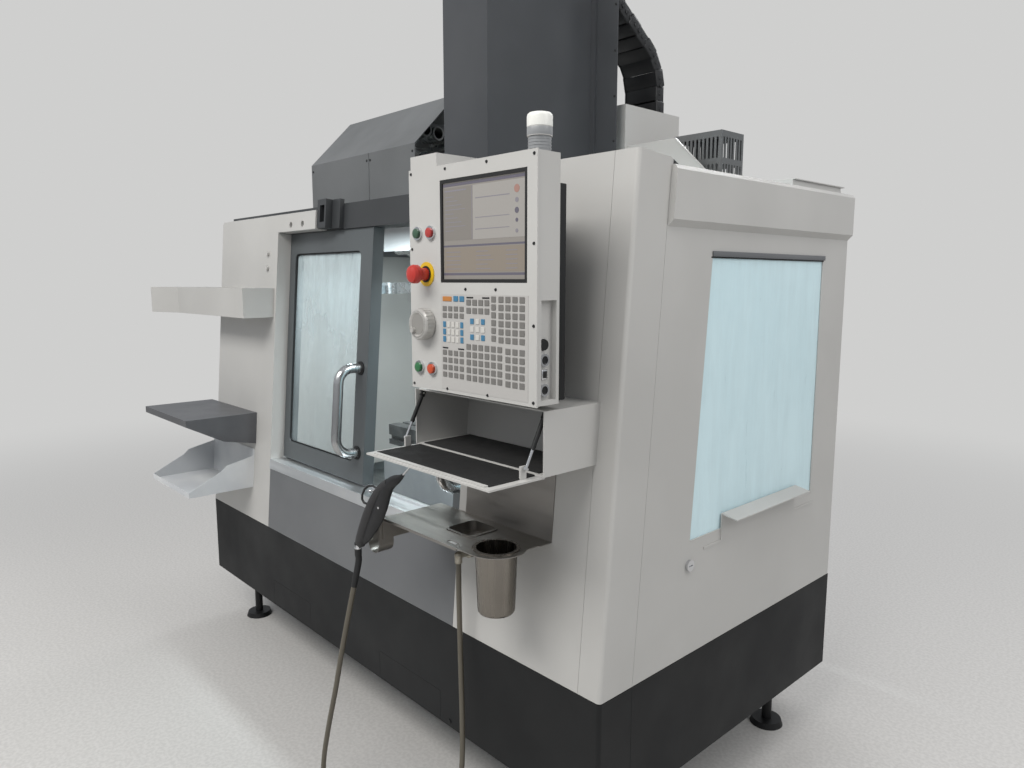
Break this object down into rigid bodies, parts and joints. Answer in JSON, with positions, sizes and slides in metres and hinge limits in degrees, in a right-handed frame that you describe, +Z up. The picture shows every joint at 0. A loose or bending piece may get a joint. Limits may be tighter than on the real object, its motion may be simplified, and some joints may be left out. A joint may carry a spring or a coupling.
{
  "type": "cnc machining center",
  "caption": "Vertical machining centre: leaning enclosure with sliding doors, tall head cover, side tool changer, cable carrier, swivelling control pendant and accessory shelves.",
  "frame": {"origin": "middle of the machine's bounding box on the floor, without the air hose and its gun", "axes": "+X along the front to the machine's right, +Y to the rear, +Z up"},
  "size_m": [2.539, 1.7648, 2.62],
  "materials": {
    "cast": "matt",
    "steel_ground": "ground",
    "bright": "polished",
    "stainless": "satin",
    "dark_paint": "fine texture",
    "mid_paint": "satin",
    "light_paint": "satin",
    "changer_paint": "satin",
    "black_plastic": "matt",
    "screen": "gloss",
    "keys": "matt",
    "clear": "clear",
    "lens": "gloss",
    "red": "gloss",
    "green": "gloss",
    "orange": "gloss",
    "hose": "matt",
    "brass": "plain",
    "tin": "plain"
  },
  "bodies": {
    "machine": {"base_casting": "cast", "leveling_feet": "mid_paint", "column_casting": "light_paint", "linear_rails": "steel_ground", "chip_pan": "stainless", "front_skirt": "dark_paint", "side_skirts": "dark_paint", "front_lower_panel": "mid_paint", "front_sill": "bright", "left_front_panel": "light_paint", "right_front_panel": "light_paint", "right_corner_panel": "light_paint", "right_side_panel": "light_paint", "left_side_panel": "light_paint", "rear_panel": "light_paint", "door_header": "dark_paint", "side_window": "clear", "changer_frame": "cast", "changer_cover": "changer_paint", "cable_carrier": "black_plastic", "control_cabinet": "light_paint", "vent_cage": "changer_paint", "pendant_bracket": "dark_paint", "storage_box": "light_paint", "accessory_shelf": "stainless", "chip_cup": "stainless", "air_gun": "black_plastic", "air_hose": "hose", "hose_fitting": "brass", "upper_tray": "stainless", "left_shelves": "mid_paint", "coolant_tank": "mid_paint"},
    "left_door": {"left_door_frame": "mid_paint", "left_door_glass": "clear", "left_door_handle": "stainless"},
    "right_door": {"right_door_frame": "mid_paint", "right_door_glass": "clear", "right_door_handle": "stainless"},
    "saddle": {"saddle": "cast"},
    "table": {"table": "cast"},
    "head": {"head_casting": "cast", "head_cover": "dark_paint"},
    "spindle": {"spindle": "steel_ground"},
    "carousel": {"carousel": "tin"},
    "swap_arm": {"swap_arm": "steel_ground"},
    "pendant": {"pendant_body": "light_paint", "pendant_plate": "light_paint", "screen": "screen", "keypad": "keys", "beacon": "lens"},
    "e_stop": {"e_stop": "red"},
    "jog_wheel": {"jog_wheel": "tin"},
    "power_on_button": {"power_on_button": "green"},
    "power_off_button": {"power_off_button": "red"},
    "cycle_start_button": {"cycle_start_button": "green"},
    "feed_hold_button": {"feed_hold_button": "orange"},
    "storage_door": {"storage_door": "light_paint"},
    "strut_tubes": {"strut_tubes": "dark_paint"},
    "strut_rods": {"strut_rods": "bright"},
    "side_lock": {"side_lock": "bright"}
  },
  "joints": [
    {"name": "left_door_slide", "type": "slide", "parent": "machine", "child": "left_door", "axis": [1, 0, 0], "range_m": [-0.47, 0]},
    {"name": "right_door_slide", "type": "slide", "parent": "machine", "child": "right_door", "axis": [1, 0, 0], "range_m": [-0.47, 0]},
    {"name": "y_axis", "type": "slide", "parent": "machine", "child": "saddle", "axis": [0, 1, 0], "range_m": [-0.203, 0.203]},
    {"name": "x_axis", "type": "slide", "parent": "saddle", "child": "table", "axis": [1, 0, 0], "range_m": [-0.381, 0.381]},
    {"name": "z_axis", "type": "slide", "parent": "machine", "child": "head", "axis": [0, 0, 1], "range_m": [-0.508, 0]},
    {"name": "spindle_spin", "type": "hinge", "parent": "head", "child": "spindle", "pos_m": [0.1375, 0.058, 1.48], "axis": [0, 0, 1], "continuous": true},
    {"name": "carousel_index", "type": "hinge", "parent": "machine", "child": "carousel", "pos_m": [-0.5625, 0.168, 1.829], "axis": [1, 0, 0], "continuous": true},
    {"name": "arm_swing", "type": "hinge", "parent": "machine", "child": "swap_arm", "pos_m": [-0.1525, 0.058, 1.42], "axis": [0, 0, 1], "range_deg": [0, 180]},
    {"name": "pendant_swivel", "type": "hinge", "parent": "machine", "child": "pendant", "pos_m": [0.9675, -0.657, 1.42], "axis": [0, 0, 1], "range_deg": [-15, 35]},
    {"name": "e_stop_push", "type": "slide", "parent": "pendant", "child": "e_stop", "axis": [0, 1, 0], "range_m": [0, 0.005]},
    {"name": "jog_turn", "type": "hinge", "parent": "pendant", "child": "jog_wheel", "pos_m": [0.8175, -0.762, 1.35], "axis": [0, -1, 0], "continuous": true},
    {"name": "power_on_push", "type": "slide", "parent": "pendant", "child": "power_on_button", "axis": [0, 1, 0], "range_m": [0, 0.003], "stiffness_N_per_m": 500},
    {"name": "power_off_push", "type": "slide", "parent": "pendant", "child": "power_off_button", "axis": [0, 1, 0], "range_m": [0, 0.003], "stiffness_N_per_m": 500},
    {"name": "cycle_start_push", "type": "slide", "parent": "pendant", "child": "cycle_start_button", "axis": [0, 1, 0], "range_m": [0, 0.003], "stiffness_N_per_m": 500},
    {"name": "feed_hold_push", "type": "slide", "parent": "pendant", "child": "feed_hold_button", "axis": [0, 1, 0], "range_m": [0, 0.003], "stiffness_N_per_m": 500},
    {"name": "storage_door_hinge", "type": "hinge", "parent": "machine", "child": "storage_door", "pos_m": [0.9675, -0.723, 1.045], "axis": [-1, 0, 0], "range_deg": [0, 90]},
    {"name": "strut_swing", "type": "hinge", "parent": "machine", "child": "strut_tubes", "pos_m": [0.9675, -0.713, 1.174], "axis": [1, 0, 0], "range_deg": [0, 35.79]},
    {"name": "strut_stroke", "type": "slide", "parent": "strut_tubes", "child": "strut_rods", "axis": [0, 0.4539, 0.891], "range_m": [0, 0.03317]},
    {"name": "side_lock_turn", "type": "hinge", "parent": "machine", "child": "side_lock", "pos_m": [1.2225, -0.28, 0.757], "axis": [1, 0, 0], "range_deg": [0, 90]}
  ],
  "couplings": [
    {"joint": "strut_swing", "follows": "storage_door_hinge", "ratio": 0.39657},
    {"joint": "strut_stroke", "follows": "storage_door_hinge", "m_per_rad": 0.020992}
  ]
}
